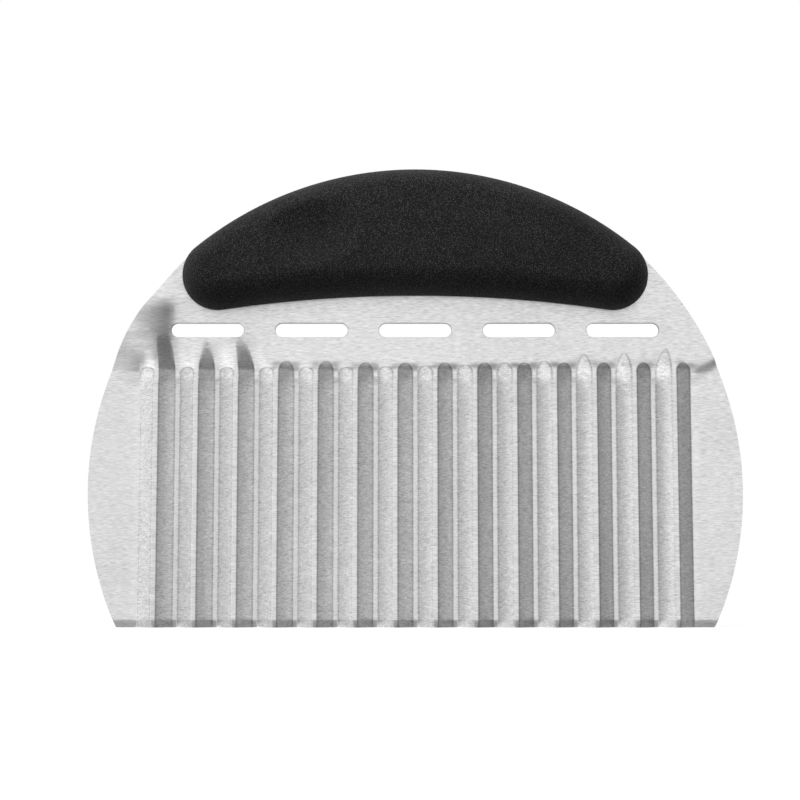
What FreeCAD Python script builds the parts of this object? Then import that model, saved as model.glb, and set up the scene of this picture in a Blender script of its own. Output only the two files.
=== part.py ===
"""Wavy soap cutter: a round-backed sheet-steel blade pressed into vertical folds, ground along
its straight lower edge, and held by its hidden tang in a black soft-grip handle.

Frame: millimetres, +Z up, the cutter standing on its cutting edge. X runs along the edge, the
folds run along Z, and the side with the thumb rest faces -Y. The origin is the middle of the
cutting edge, half way through the thickness of the flat steel.

The blade is one sheet. Its upper, flat part is 0 in Y; below, the sheet is clamped between two
levels: crests stand out to -Y and valleys and the two side margins lie back to +Y. The same sheet
runs on into the handle as a tang. Two rigid core halves close on the tang, four rivets go through
both halves and the tang, and a soft grip is moulded over the core, the rivet heads and the steel.
"""
import FreeCAD, Part

import math
import os

from FreeCAD import Vector

# ---- the steel sheet ----
sheet_thickness = 1.0
disc_radius = 82.25           # the round back of the blade
disc_centre_height = 34.55    # above the cutting edge

# ---- the folds ----
fold_pitch = 10.0
fold_flat = 1.1               # width of each crest and valley, at mid thickness
fold_slope = math.radians(45.0)
fold_height = 64.2            # the folds have their full depth up to here
fold_end_slope = math.radians(80.0)
fold_end_foot_radius = 0.6    # where the end of a fold meets the flat sheet
edge_margin = 5.0             # least flat steel beside the folds at the cutting edge

# ---- the ground edge ----
bevel_height = 1.9
edge_thickness = 0.25

# ---- the slots ----
slot_count = 5
slot_pitch = 26.2
slot_length = 18.3
slot_width = 3.6
slot_gap = 6.2                # from the top of the folds to the slots

# ---- the handle ----
handle_gap = 6.9              # from the slots to the middle of the underside
handle_height = 32.4          # on the centre line
handle_hollow = 3.65          # the underside's middle lies this far above its two ends
handle_end_radius = 9.0
handle_end_reach = 0.3        # the ends reach this far past the blade's round back
handle_thickness = 22.0
edge_round = 7.0              # rounding of the front and back edges
least_round = 0.5             # of the forms inside it, which are rounded less
skin = 2.5                    # thickness of the soft grip

# ---- the thumb rest ----
thumb_offset = 25.4           # from the centre line, towards -X
thumb_height = 14.2           # above the middle of the underside
thumb_length = 24.8
thumb_width = 16.6
thumb_depth = 1.2
thumb_tilt = 14.0             # degrees, rising towards the centre line

# ---- what is inside the handle ----
core_wall = 2.2
rib_thickness = 1.6
rib_count = 7
tang_inset = 6.0              # from the handle's outline to the tang's
shoulder_drop = 0.4           # the round back ends this far under the place where it meets the handle
boss_diameter = 9.0
rivet_diameter = 3.6
rivet_head_diameter = 6.6
rivet_head_height = 1.5
rivet_head_level = 5.0        # from the middle of the sheet to the underside of a head
rivet_fit = 0.05              # radial clearance of a rivet in its hole
rivet_from_end = 21.0         # from the handle's end to the first rivet; the rest are spaced evenly
rivet_names = ("left_outer_rivet", "left_inner_rivet", "right_inner_rivet", "right_outer_rivet")

# ---- worked out from the sizes above ----
half_sheet = sheet_thickness / 2
slant_offset = half_sheet / math.cos(fold_slope)   # half the sheet, measured along Y on a slant
zigzag_peak = fold_pitch / 4 * math.tan(fold_slope)
fold_level = zigzag_peak - fold_flat / 2 * math.tan(fold_slope)
edge_half_width = math.sqrt(disc_radius ** 2 - disc_centre_height ** 2)
fold_count = int((2 * (edge_half_width - edge_margin) + fold_flat) / fold_pitch)
fold_end_nose_radius = fold_level / (1 - math.cos(fold_end_slope)) - fold_end_foot_radius
fold_end_length = (fold_end_nose_radius + fold_end_foot_radius) * math.sin(fold_end_slope)
fold_end_shift = half_sheet * math.tan(fold_end_slope / 2)
folds_top = fold_height + fold_end_length
slot_height = folds_top + slot_gap + slot_width / 2
handle_bottom = slot_height + slot_width / 2 + handle_gap
handle_top = handle_bottom + handle_height
beyond = 4 * disc_radius      # larger than the part, for cutting shapes


# ---- the handle's outline, seen from the front: a top arc, an underside arc and two end arcs ----
end_height = handle_bottom - handle_hollow + handle_end_radius
end_distance = disc_radius + handle_end_reach - handle_end_radius
end_offset = math.sqrt(end_distance ** 2 - (end_height - disc_centre_height) ** 2)
end_to_top = handle_top - end_height
end_to_bottom = end_height - handle_bottom


def tangent_radius(rise, gap):
    """Radius of an arc centred on X = 0 that is tangent to both end arcs and passes through the
    centre line this far from the end arcs' centres and from their far sides."""
    return (end_offset ** 2 + rise ** 2 - handle_end_radius ** 2) / (2 * gap)


top_radius = tangent_radius(end_to_top, end_to_top - handle_end_radius)
top_centre_height = handle_top - top_radius
bottom_radius = tangent_radius(end_to_bottom, handle_hollow)
bottom_centre_height = handle_bottom - bottom_radius
handle_half_length = end_offset + handle_end_radius
rivet_reach = handle_half_length - rivet_from_end
rivet_offsets = [rivet_reach * (2 * i / (len(rivet_names) - 1) - 1) for i in range(len(rivet_names))]


def outline_wire(inset):
    """The handle's outline moved inwards: four arcs, each tangent to the next."""
    top = top_radius - inset
    bottom = bottom_radius + inset
    end = handle_end_radius - inset
    top_angle = math.atan2(end_height - top_centre_height, end_offset)
    bottom_angle = math.atan2(bottom_centre_height - end_height, -end_offset)
    middle_angle = (top_angle + bottom_angle) / 2

    def end_point(side, angle):
        return Vector(side * (end_offset + end * math.cos(angle)), 0, end_height + end * math.sin(angle))

    arcs = [
        Part.Arc(end_point(-1, top_angle), Vector(0, 0, top_centre_height + top), end_point(1, top_angle)),
        Part.Arc(end_point(1, top_angle), end_point(1, middle_angle), end_point(1, bottom_angle)),
        Part.Arc(end_point(1, bottom_angle), Vector(0, 0, bottom_centre_height + bottom),
                 end_point(-1, bottom_angle)),
        Part.Arc(end_point(-1, bottom_angle), end_point(-1, middle_angle), end_point(-1, top_angle)),
    ]
    return Part.Wire([arc.toShape() for arc in arcs])


def outline_prism(inset):
    """The outline, moved inwards, through the whole thickness."""
    wire = outline_wire(inset)
    wire.translate(Vector(0, -handle_thickness, 0))
    return Part.Face(wire).extrude(Vector(0, 2 * handle_thickness, 0))


def rounded_block(inset):
    """The handle's outer form, moved inwards on all sides: the outline through the thickness, with
    its front and back edges rounded as far as its ends and its thickness allow."""
    half_thickness = handle_thickness / 2 - inset
    most_round = min(edge_round, handle_end_radius - least_round, handle_thickness / 2 - least_round)
    wire = outline_wire(inset)
    wire.translate(Vector(0, -half_thickness, 0))
    block = Part.Face(wire).extrude(Vector(0, 2 * half_thickness, 0))
    rims = [edge for edge in block.Edges if edge.BoundBox.YLength < half_thickness]
    return block.makeFillet(max(most_round - inset, least_round), rims)


# ---- the blade ----
def behind_zigzag(side):
    """Everything behind the sloping faces of the folds, as a prism along Z."""
    shift = side * slant_offset
    reach = 2 * zigzag_peak
    start = -fold_count * fold_pitch / 2
    points = [Vector(-beyond, beyond, 0), Vector(-beyond, reach, 0)]
    points.append(Vector(start + (zigzag_peak - reach) / math.tan(fold_slope), reach + shift, 0))
    for i in range(fold_count):
        crest = start + (i + 0.5) * fold_pitch
        points.append(Vector(crest, shift - zigzag_peak, 0))
        if i < fold_count - 1:
            points.append(Vector(crest + fold_pitch / 2, shift + zigzag_peak, 0))
    points.append(Vector(-start + (reach - zigzag_peak) / math.tan(fold_slope), reach + shift, 0))
    points += [Vector(beyond, reach, 0), Vector(beyond, beyond, 0)]
    face = Part.Face(Part.makePolygon(points + points[:1]))
    face.translate(Vector(0, 0, -beyond))
    return face.extrude(Vector(0, 0, 2 * beyond))


def behind_level(side, level):
    """Everything behind one level of the sheet, as a prism along X: straight up to the end of the
    folds, round the nose of the fold's end, round its foot, and up the flat sheet."""
    towards = math.copysign(1, level)
    shift = towards * side * fold_end_shift
    start = Vector(0, level + side * half_sheet, fold_height + shift)
    nose = Vector(0, start.y - towards * fold_end_nose_radius, start.z)
    foot = Vector(0, side * half_sheet + towards * fold_end_foot_radius, start.z + fold_end_length)

    def on_nose(angle):
        return nose + Vector(0, towards * math.cos(angle), math.sin(angle)) * fold_end_nose_radius

    def on_foot(angle):
        return foot - Vector(0, towards * math.cos(angle), math.sin(angle)) * fold_end_foot_radius

    edges = [
        Part.LineSegment(Vector(0, start.y, -beyond), start),
        Part.Arc(start, on_nose(fold_end_slope / 2), on_nose(fold_end_slope)),
        Part.Arc(on_nose(fold_end_slope), on_foot(fold_end_slope / 2), on_foot(0)),
        Part.LineSegment(on_foot(0), Vector(0, side * half_sheet, beyond)),
        Part.LineSegment(Vector(0, side * half_sheet, beyond), Vector(0, beyond, beyond)),
        Part.LineSegment(Vector(0, beyond, beyond), Vector(0, beyond, -beyond)),
        Part.LineSegment(Vector(0, beyond, -beyond), Vector(0, start.y, -beyond)),
    ]
    face = Part.Face(Part.Wire([edge.toShape() for edge in edges]))
    face.translate(Vector(-beyond, 0, 0))
    return face.extrude(Vector(2 * beyond, 0, 0))


def behind_sheet(side):
    """Everything behind one face of the sheet: side -1 is its front face, 1 its back."""
    slopes = behind_zigzag(side).fuse(behind_level(side, fold_level))
    return behind_level(side, -fold_level).common(slopes)


def bevel_cutter():
    """What the grinding takes off the front of the sheet: the folded front face, drawn along a
    slanting line so that it comes through the sheet at the cutting edge."""
    depth = sheet_thickness - edge_thickness
    section = behind_sheet(-1).slice(Vector(0, 0, 1), fold_height / 2)[0]
    front = Part.Face(section)
    corner = Vector(-disc_radius, -handle_thickness, fold_height / 2)
    outside = Part.makePlane(2 * disc_radius, 2 * handle_thickness, corner).cut(front)
    outside.translate(Vector(0, depth, -fold_height / 2))
    return outside.extrude(Vector(0, -2 * depth, 2 * bevel_height))


def slot_cutter(x):
    """One slot with round ends, through the sheet."""
    end = slot_width / 2
    straight = slot_length / 2 - end
    start = Vector(x - straight, -handle_thickness, slot_height)
    box = Part.makeBox(2 * straight, 2 * handle_thickness, slot_width, start - Vector(0, 0, end))
    ends = [Part.makeCylinder(end, 2 * handle_thickness, start + Vector(along, 0, 0), Vector(0, 1, 0))
            for along in (0, 2 * straight)]
    return box.fuse(ends)


def rivet_height(x):
    """Height of a rivet: half way between the handle's top and underside at that place."""
    over = top_centre_height + math.sqrt(top_radius ** 2 - x ** 2)
    under = bottom_centre_height + math.sqrt(bottom_radius ** 2 - x ** 2)
    return (over + under) / 2


def rivet_peg(x, radius, start, length):
    """A round peg along Y at a rivet's place: a piece of the rivet, or what makes its hole."""
    return Part.makeCylinder(radius, length, Vector(x, start, rivet_height(x)), Vector(0, 1, 0))


def rivet_holes():
    """The cutters of all the shanks' holes."""
    radius = rivet_diameter / 2 + rivet_fit
    return [rivet_peg(x, radius, -handle_thickness, 2 * handle_thickness) for x in rivet_offsets]


def meeting_height():
    """Where the blade's round back goes in under the handle: the lower of the two places where its
    circle crosses an end arc."""
    offset = Vector(end_offset, 0, end_height - disc_centre_height)
    along = (offset.Length ** 2 + disc_radius ** 2 - handle_end_radius ** 2) / (2 * offset.Length)
    across = math.sqrt(disc_radius ** 2 - along ** 2)
    return disc_centre_height + (offset.z * along - offset.x * across) / offset.Length


def blank_prism():
    """The outline of the blade as cut from the sheet: the round back up to its shoulder, then the
    tang, which stays inside the handle."""
    shoulder = meeting_height() - shoulder_drop
    disc = Part.makeCylinder(disc_radius, 2 * handle_thickness,
                             Vector(0, -handle_thickness, disc_centre_height), Vector(0, 1, 0))
    keep = Part.makeBox(2 * beyond, 2 * beyond, shoulder, Vector(-beyond, -beyond, 0))
    return disc.common(keep).fuse(outline_prism(tang_inset)).removeSplitter()


def make_blade():
    """The folded sheet, cut to the blank's outline, slotted, drilled and ground."""
    sheet = behind_sheet(-1).cut(behind_sheet(1))
    blade = sheet.common(blank_prism())
    slots = [slot_cutter((i - (slot_count - 1) / 2) * slot_pitch) for i in range(slot_count)]
    return blade.cut(slots + rivet_holes()).cut(bevel_cutter())


# ---- the handle's pieces ----
def make_rivet(x):
    """A shank with a head at each end."""
    shank = rivet_peg(x, rivet_diameter / 2, -rivet_head_level, 2 * rivet_head_level)
    heads = [rivet_peg(x, rivet_head_diameter / 2, start, rivet_head_height)
             for start in (-rivet_head_level - rivet_head_height, rivet_head_level)]
    return shank.fuse(heads).removeSplitter()


def core_envelope():
    """The outside of the closed core, with a counterbore over each rivet head."""
    radius = rivet_head_diameter / 2 + rivet_fit
    bores = [rivet_peg(x, radius, start, handle_thickness) for x in rivet_offsets
             for start in (-rivet_head_level - handle_thickness, rivet_head_level)]
    return rounded_block(skin).cut(bores)


def core_cavity():
    """The hollow inside the core, less the ribs across it and the bosses round the rivets."""
    hollow = rounded_block(skin + core_wall)
    bosses = [rivet_peg(x, boss_diameter / 2, -handle_thickness, 2 * handle_thickness)
              for x in rivet_offsets]
    spacing = 2 * (handle_half_length - skin - core_wall) / (rib_count + 1)
    ribs = []
    for i in range(rib_count):
        start = Vector((i - (rib_count - 1) / 2) * spacing - rib_thickness / 2, -handle_thickness, 0)
        ribs.append(Part.makeBox(rib_thickness, 2 * handle_thickness, beyond, start))
    return hollow.cut(bosses + ribs)


def make_core_half(side, envelope, cavity, blade):
    """One rigid half of the core: side -1 is the front half. It is open towards the tang."""
    start = Vector(-beyond, 0 if side > 0 else -handle_thickness, 0)
    half_space = Part.makeBox(2 * beyond, handle_thickness, beyond, start)
    return envelope.common(half_space).cut(cavity).cut(rivet_holes()).cut(blade)


def arc_radius(width, depth):
    """Radius of a bowl of this width and depth."""
    return (width ** 2 / 4 + depth ** 2) / (2 * depth)


def thumb_cutter():
    """A barrel whose side takes a shallow oval bowl out of the front of the grip."""
    across = arc_radius(thumb_width, thumb_depth)
    along = arc_radius(thumb_length, thumb_depth)
    half_length = math.sqrt(along ** 2 - (along - across) ** 2)
    start, end = Vector(-half_length, 0, 0), Vector(half_length, 0, 0)
    profile = Part.Wire([Part.Arc(start, Vector(0, 0, across), end).toShape(),
                         Part.LineSegment(end, start).toShape()])
    barrel = Part.Face(profile).revolve(Vector(0, 0, 0), Vector(1, 0, 0), 360)
    barrel.rotate(Vector(0, 0, 0), Vector(0, 1, 0), -thumb_tilt)
    out = -handle_thickness / 2 + thumb_depth - across
    barrel.translate(Vector(-thumb_offset, out, handle_bottom + thumb_height))
    return barrel


def make_soft_grip(envelope, rivets, blade):
    """The moulded-on grip: its outer form less the core, the rivets, the steel and the thumb rest."""
    return rounded_block(0).cut(envelope).cut(rivets).cut(blade).cut(thumb_cutter())


def main():
    blade = make_blade()
    rivets = {name: make_rivet(x) for name, x in zip(rivet_names, rivet_offsets)}
    envelope = core_envelope()
    cavity = core_cavity()
    parts = {
        "blade": blade,
        "front_core": make_core_half(-1, envelope, cavity, blade),
        "rear_core": make_core_half(1, envelope, cavity, blade),
        "soft_grip": make_soft_grip(envelope, list(rivets.values()), blade),
        **rivets,
    }
    os.makedirs("parts", exist_ok=True)
    for name, shape in parts.items():
        print(f"{name}: {len(shape.Solids)} solid, {shape.Volume / 1000:.2f} cm3, valid {shape.isValid()}")
        shape.exportStep(f"parts/{name}.step")


main()
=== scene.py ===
# %% [markdown]
# # A wavy soap cutter
# The object is one sheet of stainless steel, pressed into vertical folds and held by its top in a black
# moulded grip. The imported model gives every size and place, so the first step loads it and keeps its box.
# What shows gets a new surface here: the pressed sheet and the grip. The core halves and the rivets stay
# as they are packed, because the grip hides them.

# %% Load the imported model
import math

import bmesh
import bpy
import mathutils
import numpy as np
from mathutils.geometry import delaunay_2d_cdt
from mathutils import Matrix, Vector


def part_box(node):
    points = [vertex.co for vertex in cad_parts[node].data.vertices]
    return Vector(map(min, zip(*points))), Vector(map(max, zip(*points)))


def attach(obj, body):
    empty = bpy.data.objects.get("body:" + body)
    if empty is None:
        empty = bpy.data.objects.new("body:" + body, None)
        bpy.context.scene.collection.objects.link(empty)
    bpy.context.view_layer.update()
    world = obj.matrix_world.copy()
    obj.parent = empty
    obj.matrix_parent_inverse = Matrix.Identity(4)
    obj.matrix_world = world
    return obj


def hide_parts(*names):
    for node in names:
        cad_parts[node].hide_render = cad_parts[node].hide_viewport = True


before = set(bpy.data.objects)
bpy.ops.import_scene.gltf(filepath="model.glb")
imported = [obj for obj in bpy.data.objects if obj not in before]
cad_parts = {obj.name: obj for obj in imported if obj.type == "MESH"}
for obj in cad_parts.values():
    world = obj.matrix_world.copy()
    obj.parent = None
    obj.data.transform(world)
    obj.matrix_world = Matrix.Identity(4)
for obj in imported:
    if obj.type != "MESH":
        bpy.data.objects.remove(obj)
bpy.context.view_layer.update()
MM = 0.001


# %% [markdown]
# ## The camera
# The photograph was taken from close by and a little below the middle, so upright lines lean together
# towards the top. A long lens 450 mm in front of the blade, 7 mm above the table and tipped up by 6.3
# degrees gives the same leaning. An alternative is a level camera with lens shift, but that would keep
# the upright lines parallel.

# %% Place the camera
CAMERA_PLACE = (-3.85 * MM, -450.0 * MM, 6.9 * MM)
CAMERA_TIP_UP = math.radians(6.33)
FOCAL_PIXELS = 1799.0
IMAGE_PIXELS = 800.0
SENSOR = 36.0

camera_data = bpy.data.cameras.new("camera")
camera_data.sensor_width = SENSOR
camera_data.lens = FOCAL_PIXELS / IMAGE_PIXELS * SENSOR
camera = bpy.data.objects.new("camera", camera_data)
camera.location = CAMERA_PLACE
camera.rotation_euler = (math.pi / 2 + CAMERA_TIP_UP, 0, 0)
camera_data.clip_start = 0.01
bpy.context.scene.collection.objects.link(camera)
bpy.context.scene.camera = camera
print("lens", round(camera_data.lens, 1), "mm")


# %% [markdown]
# ## Helpers for meshes
# A surface is worked out as arrays of points and faces, and one call puts them into a mesh. Smooth
# shading runs over the whole surface, and only the edges named as sharp break it, such as the rim where
# a sheet was cut.

# %% From arrays to a piece
def new_piece(name, points, faces, sharp_edges=None):
    """A mesh object at the origin. points is an (n, 3) array in metres and faces an (m, 3) or (m, 4)
    array of point numbers. sharp_edges is a test on two arrays of point numbers that says which edges
    stay sharp."""
    mesh = bpy.data.meshes.new(name)
    mesh.from_pydata(points.tolist(), [], faces.tolist())
    mesh.shade_smooth()
    if sharp_edges is not None:
        ends = np.empty(2 * len(mesh.edges), dtype=np.int32)
        mesh.edges.foreach_get("vertices", ends)
        ends = ends.reshape(-1, 2)
        marks = mesh.attributes.new("sharp_edge", "BOOLEAN", "EDGE")
        marks.data.foreach_set("value", sharp_edges(ends[:, 0], ends[:, 1]))
    mesh.validate()
    piece = bpy.data.objects.new(name, mesh)
    bpy.context.scene.collection.objects.link(piece)
    print(name, len(points), "points,", len(faces), "faces")
    return piece


def smooth_step(low, high, value):
    """0 below low, 1 above high, and 3t^2 - 2t^3 between them."""
    t = np.clip((value - low) / (high - low), 0.0, 1.0)
    return t * t * (3.0 - 2.0 * t)


# %% [markdown]
# ## The pressed sheet
# A real cutter starts as a flat blank, is cut to its outline with its slots, and is then pressed between
# two dies. The same order works here. First a flat outline and its slots are filled with points and
# joined into triangles, which is what Delaunay triangulation is for. Then one formula says how far the
# press moved each point of the blank, so the folds, their rounded ends and the dents beside them are one
# surface. Carving the folds out of a block would leave their ends too sharp.
#
# The blank lies in X and Z, in millimetres, and the press moves it along Y.

# %% Sizes of the blank
SHEET = 1.0
DISC_RADIUS = 82.25
DISC_HEIGHT = 34.55
SLOT_COUNT, SLOT_PITCH, SLOT_LENGTH, SLOT_WIDTH = 5, 26.2, 18.3, 3.6
SLOT_HEIGHT = 74.52
TANG_INSET = 6.0
TANG_SHOULDER = 92.9
GRIP_END_RADIUS = 9.0
GRIP_HOLLOW = 3.65

grip_low, grip_high = (np.array(corner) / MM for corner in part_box("soft_grip"))
GRIP_HALF_LENGTH = grip_high[0]
END_HEIGHT = grip_low[2] + GRIP_END_RADIUS
END_OFFSET = GRIP_HALF_LENGTH - GRIP_END_RADIUS
GRIP_TOP = grip_high[2]
GRIP_BOTTOM = grip_low[2] + GRIP_HOLLOW


def tangent_radius(rise, gap):
    """Radius of an arc that is centred on X = 0 and touches both end circles of the grip: half of
    (offset^2 + rise^2 - end radius^2) over the gap that the end circles leave at the centre line."""
    return (END_OFFSET ** 2 + rise ** 2 - GRIP_END_RADIUS ** 2) / (2 * gap)


TOP_RADIUS = tangent_radius(GRIP_TOP - END_HEIGHT, GRIP_TOP - END_HEIGHT - GRIP_END_RADIUS)
BOTTOM_RADIUS = tangent_radius(END_HEIGHT - GRIP_BOTTOM, GRIP_HOLLOW)
TOP_CENTRE, BOTTOM_CENTRE = GRIP_TOP - TOP_RADIUS, GRIP_BOTTOM - BOTTOM_RADIUS
TOP_ANGLE = math.atan2(END_HEIGHT - TOP_CENTRE, END_OFFSET)
BOTTOM_ANGLE = math.atan2(END_HEIGHT - BOTTOM_CENTRE, END_OFFSET)
print("grip arcs", round(TOP_RADIUS, 1), round(BOTTOM_RADIUS, 1), "mm")


# %% The blank's outline and slots
def arc(centre_x, centre_z, radius, start, end, step):
    """Points on a circle, x = cx + r cos a and z = cz + r sin a, about a step apart."""
    count = max(int(abs(end - start) * radius / step), 2)
    angle = np.linspace(start, end, count + 1)
    return np.column_stack((centre_x + radius * np.cos(angle), centre_z + radius * np.sin(angle)))


def blank_outline():
    """The straight cutting edge, the round back up to its shoulder, and the tang inside the grip."""
    low_angle = -math.asin(DISC_HEIGHT / DISC_RADIUS)
    shoulder_angle = math.asin((TANG_SHOULDER - DISC_HEIGHT) / DISC_RADIUS)
    right = arc(0, DISC_HEIGHT, DISC_RADIUS, low_angle, shoulder_angle, 0.8)
    tang_radius = TOP_RADIUS - TANG_INSET
    tang_angle = math.asin((TANG_SHOULDER - TOP_CENTRE) / tang_radius)
    half = np.vstack((right, arc(0, TOP_CENTRE, tang_radius, tang_angle, math.pi / 2, 1.5)[:-1]))
    crown = np.array([[0.0, GRIP_TOP - TANG_INSET]])
    mirrored = half[::-1] * (-1.0, 1.0)
    bottom = np.column_stack((np.linspace(mirrored[-1, 0], half[0, 0], 240)[1:-1], np.zeros(238)))
    return np.vstack((half, crown, mirrored, bottom))


def slot_outline(x, grow=0.0):
    """A stadium: two half circles and the straight sides between them, grown by a distance."""
    end = SLOT_WIDTH / 2 + grow
    reach = (SLOT_LENGTH - SLOT_WIDTH) / 2
    right = arc(x + reach, SLOT_HEIGHT, end, -math.pi / 2, math.pi / 2, 0.3)
    left = arc(x - reach, SLOT_HEIGHT, end, math.pi / 2, 3 * math.pi / 2, 0.3)
    across = np.linspace(reach, -reach, 16)[1:-1] + x
    top = np.column_stack((across, np.full(14, SLOT_HEIGHT + end)))
    bottom = np.column_stack((across[::-1], np.full(14, SLOT_HEIGHT - end)))
    return np.vstack((right, top, left, bottom))


SLOT_PLACES = [(i - (SLOT_COUNT - 1) / 2) * SLOT_PITCH for i in range(SLOT_COUNT)]
outlines = [blank_outline()] + [slot_outline(x) for x in SLOT_PLACES]
print("outline points", [len(line) for line in outlines])


# %% [markdown]
# ## How the press moved the sheet
# Across the sheet the folds are a zigzag whose peaks are cut flat: crests towards the front, valleys
# towards the back. The two side margins lie level with the valleys. The cut is softened, which gives each
# bend its small radius. Towards the top of a fold its depth falls to nothing, and each sloping face ends
# in an arched tip. The dies reached further up near the two ends of the blade than in the middle, so some
# tips are long and pointed there, and lean.

# %% The folds
FOLD_PITCH = 10.0
FOLD_FLAT = 1.1
FOLD_TOP = 63.7
FOLD_PEAK = FOLD_PITCH / 4
FOLD_DEPTH = FOLD_PEAK - FOLD_FLAT / 2
BEND = 0.14
FADE_START, FADE_END, FADE_BEND = 60.9, 66.9, 0.1
# the margins come forward between these heights above FADE_START, and across the sheet between these
# distances past the last fold. On the right both distances grow with height, up to a limit.
MARGIN_RAMP = (1.0, 15.0)
LEFT_RAMP, RIGHT_RAMP = (-0.5, 9.0), (-1.0, 5.0)
RIGHT_LEAN, RIGHT_LEAN_LIMIT = 1.4, 9.0
TIP_SLOPES = (-0.38, 0.5)
TIP_FADE = 4.0
TIP_GROW = (-1.5, 3.8)
SHORT_TIP = 3.0
# tips that differ, by the sloping face's number from the left: length, power (1 pointed, 2 round) and the
# sideways lean at the top of the tip
PLAIN_LIGHT, PLAIN_DARK = (1.4, 2.0, 0.0), (2.6, 1.9, 0.0)
SPECIAL_TIPS = {1: (10.0, 3.2, -1.2), 3: (8.7, 1.65, -0.1), 5: (10.0, 2.4, -2.3), 7: (3.1, 1.9, 0.0),
                9: (3.1, 1.9, 0.0), 12: (1.6, 2.0, 0.0), 14: (1.8, 2.0, 0.0), 16: (2.1, 2.0, 0.0),
                18: (2.6, 1.9, 0.0), 20: (3.1, 1.9, 0.0), 22: (4.7, 1.8, 0.1), 24: (5.1, 1.8, 0.2),
                26: (6.1, 1.8, 0.7)}
FACES = 28
FIELD = FACES * FOLD_PITCH / 4
TIPS = np.array([SPECIAL_TIPS.get(face, PLAIN_DARK if face % 2 else PLAIN_LIGHT)
                 for face in range(FACES)])


def soft_max(a, b, softness):
    """The larger of two values, rounded where they cross: (a + b + sqrt((a - b)^2 + s^2)) / 2."""
    return (a + b + np.sqrt((a - b) ** 2 + softness ** 2)) / 2


def zigzag(x):
    """Slopes of 45 degrees between -peak at each crest and +peak at each valley and past the folds."""
    inside = np.clip(x, -FIELD, FIELD)
    return np.abs((inside + FIELD) % FOLD_PITCH - FOLD_PITCH / 2) - FOLD_PEAK


def face_middle(face):
    """X of the middle of a sloping face."""
    return (face + 0.5) * FOLD_PITCH / 2 - FIELD


def half_width(z, face):
    """Half the width of a sloping face, measured in X: full up to the end of the folds and then
    full (1 - rise^p)^(1/p) over the length of its tip. Also gives the tip's sideways lean."""
    length, power, lean = TIPS[face]
    rise = np.clip((z - FOLD_TOP) / length, 0.0, 1.0)
    return FOLD_DEPTH * (1.0 - rise ** power) ** (1.0 / power), lean * rise ** 1.5


def straight_folds(x, side):
    """Y of the folds below their tips: the zigzag held between -depth and +depth. On a slope the back
    lies sqrt(2) thicknesses behind the front, on a flat only one, so its zigzag is shifted by
    sqrt(2) - 1."""
    shift = (math.sqrt(2) - 1) * SHEET if side > 0 else 0.0
    return -soft_max(-soft_max(zigzag(x) + shift, -FOLD_DEPTH, BEND), -FOLD_DEPTH, BEND)


def tips(x, z):
    """Y of the tips, the sum over all faces. Across a tip y falls or rises by one of TIP_SLOPES per mm up
    to its edges, and from there it dies away on both sides. Every tip grows out of the folds and fades
    with 1 - rise^n, where n is 1 for short tips and larger for long ones."""
    total = np.zeros_like(x)
    grow = smooth_step(FOLD_TOP + TIP_GROW[0], FOLD_TOP + TIP_GROW[1], z)
    for face in range(FACES):
        half, lean = half_width(z, face)
        length = TIPS[face][0]
        fade = 1.0 - np.clip((z - FOLD_TOP) / length, 0.0, 1.0) ** max(length / SHORT_TIP, 1.0)
        off = x - face_middle(face) - lean
        beyond = 1.0 - smooth_step(0.0, TIP_FADE, np.abs(off) - half)
        total += TIP_SLOPES[face % 2] * fade * np.clip(off, -half, half) * beyond
    return total * grow


def fold(x, z, side):
    """Y of the folds on the front (side -1) or the back (side 1). Their depth falls to nothing in a
    straight line between FADE_START and FADE_END, and the tips add to that. The margins come forward in
    a longer curve, which on the right begins along a leaning line."""
    share = (FADE_END - z) / (FADE_END - FADE_START)
    share = -soft_max(-soft_max(share, 0.0, FADE_BEND), -1.0, FADE_BEND)
    later = 1.0 - smooth_step(FADE_START + MARGIN_RAMP[0], FADE_START + MARGIN_RAMP[1], z)
    lean = np.clip(RIGHT_LEAN * (z - FOLD_TOP), 0.0, RIGHT_LEAN_LIMIT)
    right = smooth_step(FIELD + RIGHT_RAMP[0] + lean, FIELD + RIGHT_RAMP[1] + lean, x)
    left = smooth_step(FIELD + LEFT_RAMP[0], FIELD + LEFT_RAMP[1], -x)
    margin = FOLD_DEPTH * np.maximum(later - share, 0.0) * np.where(x > 0, right, left)
    return share * straight_folds(x, side) + tips(x, z) + margin


print("fold depth", 2 * FOLD_DEPTH, "mm, faces", FACES)


# %% [markdown]
# ## Dents and waves
# A hand-set press leaves the flat steel a little uneven. Beside the first and the last folds it is bent
# along leaning lines, and those bends catch the light as soft dark patches.

# %% Dents and waves
# the bent corner: its line and its width as (heights, values), the rounding of its two bends, and the
# heights over which it comes and goes
CORNER_STEEP, CORNER_GENTLE = 0.62, 0.04
CORNER_LINE = ([66.0, 72.0, 76.0, 80.0, 86.0], [-60.8, -61.4, -60.6, -60.4, -61.5])
CORNER_REACH = ([65.0, 70.0, 74.0, 80.0], [2.0, 2.8, 4.8, 5.4])
CORNER_BENDS = (1.2, 2.5)
CORNER_COMES, CORNER_GOES = (64.0, 70.5), (78.5, 87.0)
# the marks above the last folds: a line of (z, x) points, width, height and reach
DENTS = [([(70, 61.5), (76, 62.5), (82, 63.5)], 4.5, 0.35, 5.0),
         ([(65, 47.2), (71, 47.4), (79, 47.6)], 2.5, 0.22, 3.0),
         ([(65, 57.4), (71, 57.6), (79, 57.8)], 2.5, 0.22, 3.0)]
# the waves: height, radians per mm along X and along Z, and the angle at the origin
WAVES = [(0.020, 0.11, 0.07, 0.0), (0.015, 0.19, -0.13, 1.3), (0.008, 0.31, 0.23, 2.1)]


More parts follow.
